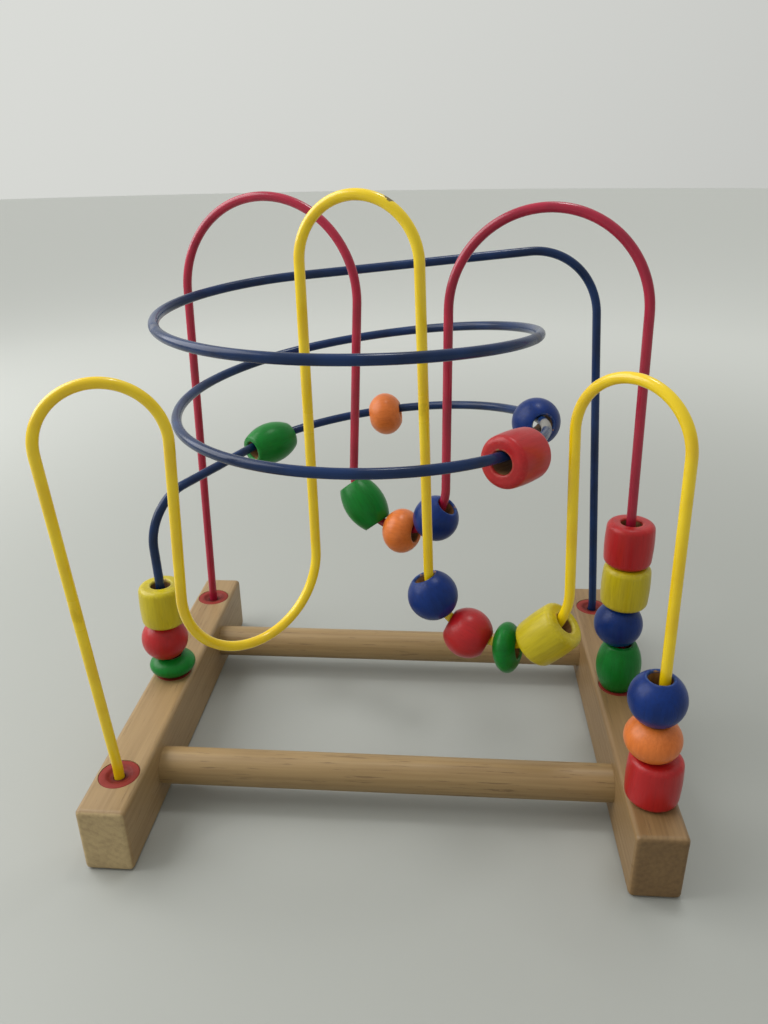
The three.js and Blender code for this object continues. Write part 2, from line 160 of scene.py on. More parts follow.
class Level:
    """A number that varies over a surface, held by a node's socket."""

    def __init__(self, graph: Nodes, socket: bpy.types.NodeSocket) -> None:
        """Wraps a socket of a graph."""
        self.graph = graph
        self.socket = socket

    def math(self, operation: str, *values: "Level | float") -> "Level":
        """Adds a Math node.

        Args:
            operation: The name of the operation.
            values: Its inputs in order.

        Returns:
            The node's result.
        """
        made = self.graph.node("ShaderNodeMath", {"operation": operation}, dict(enumerate(values)))
        return Level(self.graph, made.outputs[0])

    __add__, __radd__ = both_forms("ADD")
    __sub__, __rsub__ = both_forms("SUBTRACT")
    __mul__, __rmul__ = both_forms("MULTIPLY")
    __truediv__, __rtruediv__ = both_forms("DIVIDE")
    __pow__, __rpow__ = both_forms("POWER")

    def __abs__(self) -> "Level":
        """Drops the sign."""
        return self.math("ABSOLUTE", self)

    def fraction(self) -> "Level":
        """Keeps what is left of the last whole number."""
        return self.math("FRACT", self)

    def larger(self, other: "Level | float") -> "Level":
        """Keeps the larger of two."""
        return self.math("MAXIMUM", self, other)

    def step(self, low: float, high: float) -> "Level":
        """Goes smoothly from 0 at one value to 1 at another.

        Args:
            low: The value that gives 0.
            high: The value that gives 1, which may be the smaller of the two.

        Returns:
            A level between 0 and 1.
        """
        rising = low < high
        made = self.graph.node(
            "ShaderNodeMapRange",
            {"interpolation_type": "SMOOTHSTEP", "clamp": True},
            {
                "Value": self,
                "From Min": low if rising else high,
                "From Max": high if rising else low,
                "To Min": 0.0 if rising else 1.0,
                "To Max": 1.0 if rising else 0.0,
            },
        )
        return Level(self.graph, made.outputs[0])


class Graph(Nodes):
    """The node graph of one material, with its surface shader."""

    def __init__(self, name: str) -> None:
        """Makes a material that holds only a surface shader."""
        self.material = bpy.data.materials.new(name)
        self.material.use_nodes = True
        super().__init__(self.material.node_tree)
        self.tree.nodes.clear()
        self.surface = self.node("ShaderNodeBsdfPrincipled")
        self.node("ShaderNodeOutputMaterial", inputs={"Surface": self.surface.outputs[0]})
        self.places = self.node("ShaderNodeTexCoord")

    def dress(self, **sockets: object) -> None:
        """Feeds the surface shader, with spaces written as underscores."""
        for name, value in sockets.items():
            self.feed(self.surface.inputs[name.replace("_", " ")], value)

    def place(self) -> bpy.types.NodeSocket:
        """The place in the row frame, in metres."""
        return self.places.outputs["Object"]

    def attribute(self, name: str) -> bpy.types.NodeSocket:
        """A vector that the mesh carries."""
        return self.node("ShaderNodeAttribute", {"attribute_name": name}).outputs["Vector"]

    def parts(self, vector: bpy.types.NodeSocket) -> list[Level]:
        """The three parts of a vector."""
        split = self.node("ShaderNodeSeparateXYZ", inputs={0: vector})
        return [Level(self, socket) for socket in split.outputs]

    def stretched(self, vector: bpy.types.NodeSocket, scales: Sequence[float]) -> bpy.types.NodeSocket:
        """A vector with each part multiplied."""
        settings = {"operation": "MULTIPLY"}
        return self.node("ShaderNodeVectorMath", settings, {0: vector, 1: tuple(scales)}).outputs[0]

    def shifted(self, vector: bpy.types.NodeSocket, offset: object) -> bpy.types.NodeSocket:
        """A vector with another one added."""
        return self.node("ShaderNodeVectorMath", {"operation": "ADD"}, {0: vector, 1: offset}).outputs[0]

    def distance(self, vector: bpy.types.NodeSocket, point: Sequence[float]) -> Level:
        """How far a vector is from a point."""
        made = self.node("ShaderNodeVectorMath", {"operation": "DISTANCE"}, {0: vector, 1: tuple(point)})
        return Level(self, made.outputs["Value"])

    def noise(self, vector: bpy.types.NodeSocket, scale: float = 1.0, detail: float = 2.0) -> Level:
        """Cloudy noise between 0 and 1.

        Args:
            vector: Where it is read.
            scale: How many of its blobs fit in one unit.
            detail: How many finer layers it has.

        Returns:
            The noise.
        """
        inputs = {"Vector": vector, "Scale": scale, "Detail": detail}
        return Level(self, self.node("ShaderNodeTexNoise", inputs=inputs).outputs[0])

    def mix(self, share: Level | float, first: object, second: object) -> bpy.types.NodeSocket:
        """A colour between two.

        Args:
            share: How much of the second colour it has.
            first: A colour or its socket.
            second: Another.

        Returns:
            The mixed colour's socket.
        """
        made = self.node("ShaderNodeMix", {"data_type": "RGBA"}, {0: share, 6: first, 7: second})
        return made.outputs[2]

    def bump(self, height: Level, depth: float, strength: float) -> bpy.types.NodeSocket:
        """A normal for small relief.

        Args:
            height: The relief, between 0 and 1.
            depth: What a height of 1 is, in metres.
            strength: How much of it shows.

        Returns:
            The normal's socket.
        """
        inputs = {"Height": height, "Distance": depth, "Strength": strength}
        return self.node("ShaderNodeBump", inputs=inputs).outputs[0]


# FINISHES


@dataclass(frozen=True)
class WoodFinish:
    """Planed or turned wood with a thin clear coat."""

    name: str
    along: Axis
    pale: str = "a3875d"
    dark: str = "866a43"
    pore: str = "5c432a"
    end: str = "8a6a42"
    end_rough: float = 0.2
    fleck: float = 0.26
    heart: tuple[float, float] = (0.03, -0.05)
    ring: float = 0.0042
    seed: float = 0.0

    def scales(self, along: float, across: float) -> tuple[float, ...]:
        """Scales for a vector that differ along and across the grain."""
        return tuple(along if axis is self.along else across for axis in Axis)

    def material(self) -> bpy.types.Material:
        """Makes the material."""
        graph = Graph(self.name)
        place = graph.shifted(graph.place(), (self.seed, self.seed, self.seed))
        parts = graph.parts(graph.place())
        first, second = [parts[axis.value] for axis in Axis if axis is not self.along]
        wobble = graph.noise(graph.stretched(place, self.scales(5, 38)), detail=3)
        away = ((first - self.heart[0]) ** 2 + (second - self.heart[1]) ** 2) ** 0.5
        phase = ((away + wobble * (2.2 * self.ring)) / self.ring).fraction()
        rings = phase.step(0.35, 0.92) * phase.step(1.0, 0.94)
        streaks = graph.noise(graph.stretched(place, self.scales(14, 620)), detail=6)
        fine = graph.noise(graph.stretched(place, self.scales(60, 900)), detail=3)
        pores = fine.step(0.61, 0.7)
        broad = graph.noise(graph.stretched(place, self.scales(9, 46)), detail=2)
        tone = rings * 0.14 + streaks.step(0.25, 0.8) * 0.5 + broad.step(0.3, 0.75) * 0.36
        colour = graph.mix(tone, paint(self.pale), paint(self.dark))
        colour = graph.mix(pores * self.fleck, colour, paint(self.pore))
        normal = graph.parts(graph.places.outputs["Normal"])[self.along.value]
        end = abs(normal).step(0.55, 0.85)
        speckle = graph.noise(graph.stretched(place, (480, 480, 480)), detail=5)
        end_tone = rings * 0.07 + broad.step(0.3, 0.75) * 0.2 + speckle.step(0.35, 0.75) * self.end_rough
        end_colour = graph.mix(end_tone, paint(self.end), paint(self.pore))
        colour = graph.mix(end * 0.85, colour, end_colour)
        relief = streaks * 0.5 + (1 - pores) * 0.35 + end * speckle
        graph.dress(
            Base_Color=colour,
            Roughness=0.4 + streaks * 0.14 + end * 0.22 + pores * 0.1,
            Coat_Weight=0.12 - end * 0.1,
            Coat_Roughness=0.35,
            Normal=graph.bump(relief, 0.00035, 0.5),
        )
        return graph.material


@dataclass(frozen=True)
class PlasticFinish:
    """Dull moulded plastic of the bushings, with shade painted darker in the dish round the wire."""

    name: str
    colour: str = "7e251d"
    deep: str = "6e1d16"
    rim: str = "8e2f26"
    # The colour of the shade painted in the dish round the wire.
    bore_shade: str = "4a1a14"
    rim_radius: float = 0.0085
    shade_edge_radius: float = 0.0056

    def material(self) -> bpy.types.Material:
        """Makes the material."""
        graph = Graph(self.name)
        across, away, _ = graph.parts(graph.attribute("turned"))
        radius = (across**2 + away**2) ** 0.5
        cloud = graph.noise(graph.place(), 260, 4)
        grain = graph.noise(graph.place(), 2600, 2)
        colour = graph.mix(cloud.step(0.3, 0.72), paint(self.colour), paint(self.deep))
        colour = graph.mix(radius.step(self.shade_edge_radius, self.rim_radius) * 0.7, colour, paint(self.rim))
        # Painted shade: the dish is darkened towards the wire's bore.
        bore_shade = radius.step(self.shade_edge_radius, 0.45 * self.shade_edge_radius) * (0.45 + cloud * 0.6)
        graph.dress(
            Base_Color=graph.mix(bore_shade, colour, paint(self.bore_shade)),
            Roughness=0.5 + cloud * 0.16,
            Specular_IOR_Level=0.25,
            Normal=graph.bump(grain + cloud * 0.6, 0.00012, 0.45),
        )
        return graph.material


@dataclass(frozen=True)
class WearAndGlint:
    """A place where a wire's coat is rubbed, chipped or scratched, or where pale metal is painted on as a
    highlight.

    It has its middle and reach in millimetres, whether pale metal shows (bare metal at a rub, a painted
    highlight at a highlight spot), how much of the reach the mark covers, and how strongly it shows.
    """

    x: float
    y: float
    z: float
    reach: float
    bare: bool = False
    cover: float = 0.5
    depth: float = 0.9


@dataclass(frozen=True)
class CoatFinish:
    """Glossy coating on steel wire."""

    name: str
    colour: str
    deep: str
    under: str
    bare_metal_and_glint: str = "a6a39b"
    gloss: float = 0.5
    rubs: tuple[WearAndGlint, ...] = ()

    def material(self) -> bpy.types.Material:
        """Makes the material."""
        graph = Graph(self.name)
        place = graph.place()
        cloud = graph.noise(place, 55, 3)
        peel = graph.noise(place, 900, 2)
        specks = graph.noise(place, 1500, 3).step(0.74, 0.8)
        scratch = graph.noise(graph.stretched(place, (1600, 1600, 240)), detail=3)
        colour = graph.mix(cloud.step(0.3, 0.72), paint(self.colour), paint(self.deep))
        colour = graph.mix(specks * 0.25, colour, paint(self.under))
        dull = specks * 0.2
        metal: Level | float = 0.0
        ragged = graph.noise(place, 420, 5)
        # Each spot mixes in worn coat or bare metal; on the blue coil two of the spots are painted highlights
        # of pale metal.
        for rub in self.rubs:
            near = graph.distance(place, (rub.x * MM, rub.y * MM, rub.z * MM)).step(rub.reach * MM, 0)
            worn = (near + (ragged - 0.5) * 1.1 + (scratch - 0.5) * 0.7).step(1 - rub.cover, 1.12 - rub.cover)
            worn = worn * near.step(0.0, 0.1)
            shown = self.bare_metal_and_glint if rub.bare else self.under
            colour = graph.mix(worn * rub.depth, colour, paint(shown))
            dull = dull + near * 0.16 + worn * 0.2
            metal = worn * (0.8 * rub.depth) + metal if rub.bare else metal
        graph.dress(
            Base_Color=colour,
            Metallic=metal,
            Roughness=0.2 + cloud * 0.08 + dull,
            Specular_IOR_Level=self.gloss,
            Coat_Weight=(0.6 * self.gloss - dull).larger(0.0),
            Coat_Roughness=0.09,
            Normal=graph.bump(peel * 0.7 + scratch * 0.3, 0.00008, 0.35),
        )
        return graph.material


@dataclass(frozen=True)
class PaintFinish:
    """Thin paint on a turned bead: the grain shows, edges are rubbed pale and the bore is bare wood."""

    name: str
    colour: str
    deep: str
    worn: str
    grain: float
    gloss: float = 0.35
    wood: str = "a97f52"
    bore_wood: str = "5a4029"

    def material(self) -> bpy.types.Material:
        """Makes the material."""
        graph = Graph(self.name)
        local = graph.attribute("turned")
        seeded = graph.shifted(local, graph.attribute("seed"))
        rub, bore, _ = graph.parts(graph.attribute("rub"))
        streaks = graph.noise(graph.stretched(seeded, (760, 760, 60)), detail=6)
        broad = graph.noise(graph.stretched(seeded, (120, 120, 26)), detail=3)
        pores = graph.noise(graph.stretched(seeded, (1500, 1500, 110)), detail=2).step(0.58, 0.72)
        ragged = graph.noise(seeded, 620, 5)
        cloud = graph.noise(seeded, 150, 3)
        tone = streaks.step(0.3, 0.74) * self.grain + broad.step(0.32, 0.72) * (0.3 + 0.3 * self.grain)
        colour = graph.mix(tone, paint(self.colour), paint(self.deep))
        colour = graph.mix(pores * (0.25 + 0.5 * self.grain), colour, paint(self.deep))
        thin = (rub * 0.9 + (ragged - 0.5) * 0.9 + (cloud - 0.5) * 0.5).step(0.5, 0.95)
        bare = (rub + (ragged - 0.5) * 0.9 + (cloud - 0.5) * 1.1).step(1.0, 1.12)
        colour = graph.mix(thin * 0.45, colour, paint(self.worn))
        colour = graph.mix(bare * 0.85, colour, paint(self.wood))
        colour = graph.mix(bore, colour, graph.mix(streaks, paint(self.wood), paint(self.bore_wood)))
        relief = streaks * 0.5 + (1 - pores) * 0.5 - bare * 0.6
        graph.dress(
            Base_Color=colour,
            Roughness=0.29 + streaks * 0.12 + thin * 0.12 + bare * 0.2 + bore * 0.25,
            Specular_IOR_Level=self.gloss,
            Coat_Weight=(0.14 - bore * 0.14 - bare * 0.14).larger(0.0),
            Coat_Roughness=0.3,
            Normal=graph.bump(relief, 0.00025, 0.35 + 0.3 * self.grain),
        )
        return graph.material


@dataclass(frozen=True)
class FloorFinish:
    """A plain pale floor that gets paler away from the toy."""

    name: str = "pale_floor"
    near: str = "a5a7a2"
    far: str = "e2e4e0"
    near_reach: float = 0.28
    far_reach: float = 1.3

    def material(self) -> bpy.types.Material:
        """Makes the material."""
        graph = Graph(self.name)
        away = graph.distance(graph.place(), (0, 0, 0)).step(self.near_reach, self.far_reach)
        graph.dress(Base_Color=graph.mix(away, paint(self.near), paint(self.far)), Roughness=0.5)
        return graph.material


WOOD_BARS = {
    # Painted light: the left bar's end faces are painted paler than its sides, for the light falling on them
    # from the left.
    "left": WoodFinish("bar_wood_left", Axis.Y, end="c6ae80", heart=(-0.16, -0.045), seed=0.31),
    "right": WoodFinish(
        "bar_wood_right",
        Axis.Y,
        pale="94764d",
        dark="785c38",
        end="80643f",
        end_rough=0.45,
        heart=(0.1, 0.09),
        seed=1.7,
    ),
}
DOWEL_WOOD = WoodFinish(
    "dowel_wood",
    Axis.X,
    pale="a68a5d",
    dark="886c43",
    fleck=0.5,
    heart=(0.02, -0.02),
    ring=0.0036,
    seed=2.3,
)
BUSHING_PLASTIC = PlasticFinish("bushing_plastic")

YELLOW_COAT = CoatFinish(
    "yellow_coat",
    colour="f8d612",
    deep="eec60a",
    under="4a3a1c",
    rubs=(
        WearAndGlint(3.9, -27.5, 295.5, 4.5, cover=0.62),
        WearAndGlint(-133.5, -89, 128, 12, cover=0.3, depth=0.12),
        WearAndGlint(-37.5, -16.5, 195, 9, cover=0.26, depth=0.14),
        WearAndGlint(17.5, -29, 205, 9, cover=0.26, depth=0.14),
    ),
)
RED_COAT = CoatFinish("red_coat", colour="b01c3c", deep="981634", under="43141c", gloss=0.4)
BLUE_COAT = CoatFinish(
    "blue_coat",
    colour="12305f",
    deep="0c2448",
    under="0a1428",
    gloss=0.25,
    rubs=(
        WearAndGlint(77.9, 8.9, 186, 17, bare=True, cover=0.62),
        # These two spots are painted highlights: pale metal where the coil's left and right sides catch the
        # light.
        WearAndGlint(-104, -26, 243, 10, bare=True, cover=0.28, depth=0.3),
        WearAndGlint(70, -15, 237, 9, bare=True, cover=0.4, depth=0.35),
    ),
)

BEAD_PAINTS = {
    "yellow": PaintFinish("yellow_paint", "cab812", "a8950a", "e0d678", 0.35),
    "red": PaintFinish("red_paint", "b81a1e", "951317", "cf5a4c", 0.25),
    "blue": PaintFinish("blue_paint", "062f78", "042056", "4e6ea8", 0.3, gloss=0.2),
    "green": PaintFinish("green_paint", "027c27", "015c1a", "57a865", 0.35, gloss=0.2),
    "orange": PaintFinish("orange_paint", "e67e36", "c96322", "eca06a", 0.4),
}


# MESHES


@dataclass(frozen=True)
class ProfilePoint:
    """A point of a turned profile, and how rubbed and how far inside the bore the surface is there."""

    radius: float
    height: float
    rub: float = 0.0
    bore: float = 0.0


def arc(
    centre: tuple[float, float],
    radii: tuple[float, float],
    start: float,
    end: float,
    steps: int,
    rub: float = 0.0,
) -> list[ProfilePoint]:
    """Points of an arc in a profile.

    Args:
        centre: Its radius and height.
        radii: The arc's size across and along the axis.
        start: Its first angle in degrees.
        end: Its last one.
        steps: How many pieces it has.
        rub: How rubbed it is.

    Returns:
        The points in order.
    """
    angles = [math.radians(start + (end - start) * index / steps) for index in range(steps + 1)]
    return [
        ProfilePoint(centre[0] + radii[0] * math.cos(angle), centre[1] + radii[1] * math.sin(angle), rub)
        for angle in angles
    ]


def finished_mesh(shape: bmesh.types.BMesh, name: str) -> bpy.types.Mesh:
    """Makes a mesh of a worked shape, and frees the shape."""
    mesh = bpy.data.meshes.new(name)
    shape.to_mesh(mesh)
    shape.free()
    return mesh


def carry(mesh: bpy.types.Mesh, name: str, values: np.ndarray) -> None:
    """Lets a mesh carry a vector at each point, given as one row of numbers."""
    mesh.attributes.new(name, "FLOAT_VECTOR", "POINT").data.foreach_set("vector", values)


def turned_mesh(name: str, profile: Sequence[ProfilePoint], segments: int, closed: bool) -> bpy.types.Mesh:
    """Revolves a profile about +Z.

    Args:
        name: The mesh's name.
        profile: Its points in millimetres, with the material on their left.
        segments: How many sides the round has.
        closed: Whether the last point joins the first. Otherwise both are on the axis.

    Returns:
        A mesh that carries its own turned places and its rub.
    """
    shape = bmesh.new()
    rings = []
    rubs = []
    for point in profile:
        if point.radius < ON_AXIS:
            rings.append([shape.verts.new((0, 0, point.height * MM))])
            rubs.append(point)
            continue
        ring = []
        for index in range(segments):
            angle = 2 * math.pi * index / segments
            place = Vector((math.cos(angle) * point.radius, math.sin(angle) * point.radius, point.height))
            ring.append(shape.verts.new(place * MM))
            rubs.append(point)
        rings.append(ring)
    pairs = list(zip(rings, rings[1:]))
    if closed:
        pairs.append((rings[-1], rings[0]))
    for lower, upper in pairs:
        for index in range(segments):
            after = (index + 1) % segments
            corners = [lower[index % len(lower)], lower[after % len(lower)]]
            corners += [upper[after % len(upper)], upper[index % len(upper)]]
            shape.faces.new(list(dict.fromkeys(corners)))
    bmesh.ops.recalc_face_normals(shape, faces=shape.faces)
    mesh = finished_mesh(shape, name)
    places = np.zeros(len(mesh.vertices) * 3, np.float32)
    mesh.vertices.foreach_get("co", places)
    carry(mesh, "turned", places)
    wear = np.array([(point.rub, point.bore, 0.0) for point in rubs], np.float32).ravel()
    carry(mesh, "rub", wear)
    mesh.shade_smooth()
    return mesh


def evaluated_mesh(piece: bpy.types.Object, name: str) -> bpy.types.Object:
    """Makes an object's modified shape a plain mesh of a new object, and removes the old object.

    Args:
        piece: The object with modifiers.
        name: The new object's name.

    Returns:
        The new object.
    """
    bpy.context.view_layer.update()
    graph = bpy.context.evaluated_depsgraph_get()
    mesh = bpy.data.meshes.new_from_object(piece.evaluated_get(graph))
    piece.modifiers.clear()
    bpy.data.objects.remove(piece)
    mesh.name = name
    return shown_object(name, mesh)


def shown_object(name: str, mesh: bpy.types.Mesh) -> bpy.types.Object:
    """Makes an object of a mesh and links it to the scene."""
    made = bpy.data.objects.new(name, mesh)
    bpy.context.scene.collection.objects.link(made)
    return made


def settle(piece: bpy.types.Object, body: str, nodes: Sequence[str]) -> None:
    """Fixes a finished piece to its body and lets it stand for its nodes.

    Args:
        piece: The piece, in place.
        body: The body that it moves with.
        nodes: The nodes that it stands for.
    """
    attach(piece, body)
    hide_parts(*nodes)
    low = np.min([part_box(node)[0] for node in nodes], axis=0)
    high = np.max([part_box(node)[1] for node in nodes], axis=0)
    places = np.array([vertex.co for vertex in piece.data.vertices])
    drift = max(np.abs(places.min(0) - low).max(), np.abs(places.max(0) - high).max())
    log.info("%s: %d faces, %.2f mm from its solid", piece.name, len(piece.data.polygons), drift / MM)


# GEOMETRY NODES


class Tree(Nodes):
    """A Geometry Nodes tree that ends in real faces with one material."""

    def __init__(self, name: str, inputs: Mapping[str, str]) -> None:
        """Starts a tree.

        Args:
            name: Its name.
            inputs: Its named inputs, with their socket types.
        """
        super().__init__(bpy.data.node_groups.new(name, "GeometryNodeTree"))
        self.tree.interface.new_socket("Geometry", in_out="INPUT", socket_type="NodeSocketGeometry")
        self.keys = {}
        for label, kind in (*inputs.items(), ("Material", "NodeSocketMaterial")):
            made = self.tree.interface.new_socket(label, in_out="INPUT", socket_type=kind)
            self.keys[label] = made.identifier
        self.tree.interface.new_socket("Geometry", in_out="OUTPUT", socket_type="NodeSocketGeometry")
        self.given = self.node("NodeGroupInput").outputs

    def end(self, geometry: bpy.types.NodeSocket) -> None:
        """Ends the tree with real, smooth faces in the given material."""
        real = self.node("GeometryNodeRealizeInstances", inputs={"Geometry": geometry})
        smooth = self.node("GeometryNodeSetShadeSmooth", inputs={"Geometry": real.outputs[0]})
        inputs = {"Geometry": smooth.outputs[0], "Material": self.given["Material"]}
        dressed = self.node("GeometryNodeSetMaterial", inputs=inputs)
        self.node("NodeGroupOutput", inputs={"Geometry": dressed.outputs[0]})

    def run(self, seed: bpy.types.Object, name: str, **values: object) -> bpy.types.Object:
        """Runs the tree on an object.

        Args:
            seed: The object that it starts from, which is used up.
            name: The finished piece's name.
            values: The tree's inputs by name, with spaces written as underscores.

        Returns:
            The finished piece as a plain mesh.
        """
        modifier = seed.modifiers.new(self.tree.name, "NODES")
        modifier.node_group = self.tree
        for label, value in values.items():
            modifier[self.keys[label.replace("_", " ")]] = value
        return evaluated_mesh(seed, name)


def drawn_wire_tree() -> Tree:
    """A tree that draws a round wire along a row of points."""
    tree = Tree("Drawn wire", {"Wire Radius": "NodeSocketFloat", "Sides": "NodeSocketInt"})
    line = tree.node("GeometryNodeMeshToCurve", inputs={"Mesh": tree.given["Geometry"]})
    section = tree.node(
        "GeometryNodeCurvePrimitiveCircle",
        inputs={"Resolution": tree.given["Sides"], "Radius": tree.given["Wire Radius"]},
    )
    drawn = tree.node(
        "GeometryNodeCurveToMesh",
        inputs={"Curve": line.outputs[0], "Profile Curve": section.outputs[0], "Fill Caps": True},
    )
    tree.end(drawn.outputs[0])
    return tree


def seated_set_tree() -> Tree:
    """A tree that sets a copy of one piece on every seat."""
    tree = Tree("Seated set", {"Piece": "NodeSocketObject"})
    source = tree.node("GeometryNodeObjectInfo", inputs={"Object": tree.given["Piece"]})
    copies = tree.node(
        "GeometryNodeInstanceOnPoints",
        inputs={"Points": tree.given["Geometry"], "Instance": source.outputs["Geometry"]},
    )
    tree.end(copies.outputs[0])
    return tree


def seat_points(name: str, places: Sequence[Sequence[float]], joined: bool = False) -> bpy.types.Object:
    """An object of bare points.

    Args:
        name: Its name.
        places: The points in metres.
        joined: Whether each is joined to the next.

    Returns:
        The object.
    """
    mesh = bpy.data.meshes.new(name)
    edges = [(index, index + 1) for index in range(len(places) - 1)] if joined else []
    mesh.from_pydata([tuple(place) for place in places], edges, [])
    return shown_object(name, mesh)


# BASE


@dataclass
class Base:
    """Two bars with sockets, two dowels between them and a bushing for each wire end."""

    edge_radius: float = 2.5
    edge_steps: int = 6
    seat_clearance: float = 0.06
    bushing_radius: float = 10
    bushing_length: float = 22
    bushing_rim: float = 0.8
    dish_radius: float = 5.5
    dish_depth: float = 1.4
    dish_lip: float = 0.4
    dish_sweep: tuple[float, float] = (15, 90)
    lip_radius: float = 1.5
    lip_sweep: tuple[float, float] = (90, 125)
    wire_bore: float = 2.8
    wire_seat: float = 16.3
    dowel_socket: float = 14
    dowel_chamfer: float = 1
    dowel_steps: int = 16
    sharp_angle: float = 35
    round_segments: int = 72
    rows: tuple[str, ...] = ("front", "middle", "rear")
    dowel_rows: tuple[str, ...] = ("front", "rear")
    sides: tuple[str, ...] = ("left", "right")
    cutters: list[bpy.types.Object] = field(default_factory=list)

    def build(self) -> None:
        """Makes and dresses every piece of the base."""
        for side in self.sides:
            self.build_bar(side)
        seated = seated_set_tree()
        self.build_dowels(seated)
        self.build_bushings(seated)

    def seat(self, side: str, row: str) -> Vector:
        """The middle of a bushing's top, in metres."""
        low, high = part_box(f"bushing_{side}_{row}")
        return Vector(((low.x + high.x) / 2, (low.y + high.y) / 2, high.z))

    def drill(self, blank: bpy.types.Object, name: str, radius: float, depth: float, place: Matrix) -> None:
        """Adds a round hole to a blank.

        Args:
            blank: The piece that is drilled.
            name: The tool's name.
            radius: The hole's radius in millimetres.
            depth: Its depth in millimetres.
            place: The middle of its mouth, turned so that Z is along the hole.
        """
        shape = bmesh.new()
        bmesh.ops.create_cone(
            shape,
            cap_ends=True,
            segments=self.round_segments,
            radius1=radius * MM,
            radius2=radius * MM,
            depth=2 * depth * MM,
            matrix=place,
        )
        tool = shown_object(name, finished_mesh(shape, name))
        tool.hide_render = True
        self.cutters.append(tool)
        made = blank.modifiers.new(name, "BOOLEAN")
        made.operation = "DIFFERENCE"
        made.solver = "EXACT"
        made.object = tool

    def build_bar(self, side: str) -> None:
        """Makes a bar with rounded edges and its five sockets."""
        node = f"base_bar_{side}"
        low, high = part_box(node)
        shape = bmesh.new()
        bmesh.ops.create_cube(shape, size=1)
        bmesh.ops.scale(shape, vec=high - low, verts=shape.verts)
        bmesh.ops.translate(shape, vec=(low + high) / 2, verts=shape.verts)
        bmesh.ops.bevel(
            shape,
            geom=shape.edges[:],
            offset=self.edge_radius * MM,
            segments=self.edge_steps,
            profile=0.5,
            affect="EDGES",
        )
        blank = shown_object(f"{node}_blank", finished_mesh(shape, node))
        clearance = self.seat_clearance
        for row in self.rows:
            place = Matrix.Translation(self.seat(side, row))
            depth = self.bushing_length + clearance
            self.drill(blank, f"{node}_{row}_tool", self.bushing_radius + clearance, depth, place)
        for row in self.dowel_rows:
            start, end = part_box(f"dowel_{row}")
            middle = (start + end) / 2
            inner = low.x if side == "right" else high.x
            radius = (end.z - start.z) / 2 / MM + clearance
            turn = Matrix.Rotation(math.pi / 2, 4, "Y")
            place = Matrix.Translation((inner, middle.y, middle.z)) @ turn
            self.drill(blank, f"{node}_{row}_dowel_tool", radius, self.dowel_socket + clearance, place)
        blank.data.shade_smooth()
        blank.modifiers.new("flat faces", "WEIGHTED_NORMAL").keep_sharp = True
        bar = evaluated_mesh(blank, f"bar_{side}")
        for tool in self.cutters:
            bpy.data.objects.remove(tool)
        self.cutters.clear()
        bar.data.materials.append(WOOD_BARS[side].material())
        settle(bar, "base", [node])

    def build_dowels(self, seated: Tree) -> None:
        """Turns a dowel with chamfered ends and sets it in both rows."""
        nodes = [f"dowel_{row}" for row in self.dowel_rows]
        boxes = [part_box(node) for node in nodes]
        low, high = boxes[0]
        half = (high.x - low.x) / 2 / MM
        radius = (high.z - low.z) / 2 / MM
        chamfer = self.dowel_chamfer
        shares = [2 * index / self.dowel_steps - 1 for index in range(self.dowel_steps + 1)]
        profile = [
            ProfilePoint(0, -half),
            ProfilePoint(radius - chamfer, -half),
            *[ProfilePoint(radius, (half - chamfer) * share) for share in shares],
            ProfilePoint(radius - chamfer, half),
            ProfilePoint(0, half),
        ]
        mesh = turned_mesh("turned_dowel", profile, self.round_segments, closed=False)
        mesh.transform(Matrix.Rotation(math.pi / 2, 4, "Y"))
        mesh.set_sharp_from_angle(angle=math.radians(self.sharp_angle))
        piece = shown_object("turned_dowel", mesh)
        seats = seat_points("dowel_seats", [(start + end) / 2 for start, end in boxes])
        dowels = seated.run(seats, "dowels", Piece=piece, Material=DOWEL_WOOD.material())
        bpy.data.objects.remove(piece)
        settle(dowels, "base", nodes)

    def build_bushings(self, seated: Tree) -> None:
        """Turns a bushing with a dished mouth and sets it in every socket."""
        outer = self.bushing_radius
        rim = self.bushing_rim
        lip = self.lip_radius
        dish = (self.dish_radius - self.wire_bore, self.dish_lip - self.dish_depth)
        profile = [
            ProfilePoint(0, -self.bushing_length),
            ProfilePoint(outer - rim, -self.bushing_length),
            ProfilePoint(outer, rim - self.bushing_length),
            *arc((outer - rim, -rim), (rim, rim), 0, 90, 5),
            *arc((self.dish_radius + lip, -lip), (lip, lip), *self.lip_sweep, 4),
            *arc((self.wire_bore, -self.dish_lip), dish, *self.dish_sweep, 8),
            ProfilePoint(self.wire_bore, -self.wire_seat),
            ProfilePoint(0, -self.wire_seat),
        ]
        mesh = turned_mesh("turned_bushing", profile, self.round_segments, closed=False)
        piece = shown_object("turned_bushing", mesh)
        names = [(side, row) for side in self.sides for row in self.rows]
        seats = seat_points("bushing_seats", [self.seat(side, row) for side, row in names])
        bushings = seated.run(seats, "bushings", Piece=piece, Material=BUSHING_PLASTIC.material())
        bpy.data.objects.remove(piece)
        settle(bushings, "base", [f"bushing_{side}_{row}" for side, row in names])


# WIRES


@dataclass(frozen=True)
class Turn:
    """An arch or a trough of a wire: the middle of its span in plan, its heading, span and height."""

    x: float
    y: float
    heading: float
    span: float
    crown: float

    def corners(self) -> list[Vector]:
        """Its two corners."""
        angle = math.radians(self.heading)
        half = Vector((math.cos(angle), math.sin(angle), 0)) * (self.span / 2)
        middle = Vector((self.x, self.y, self.crown))
        return [middle - half, middle + half]


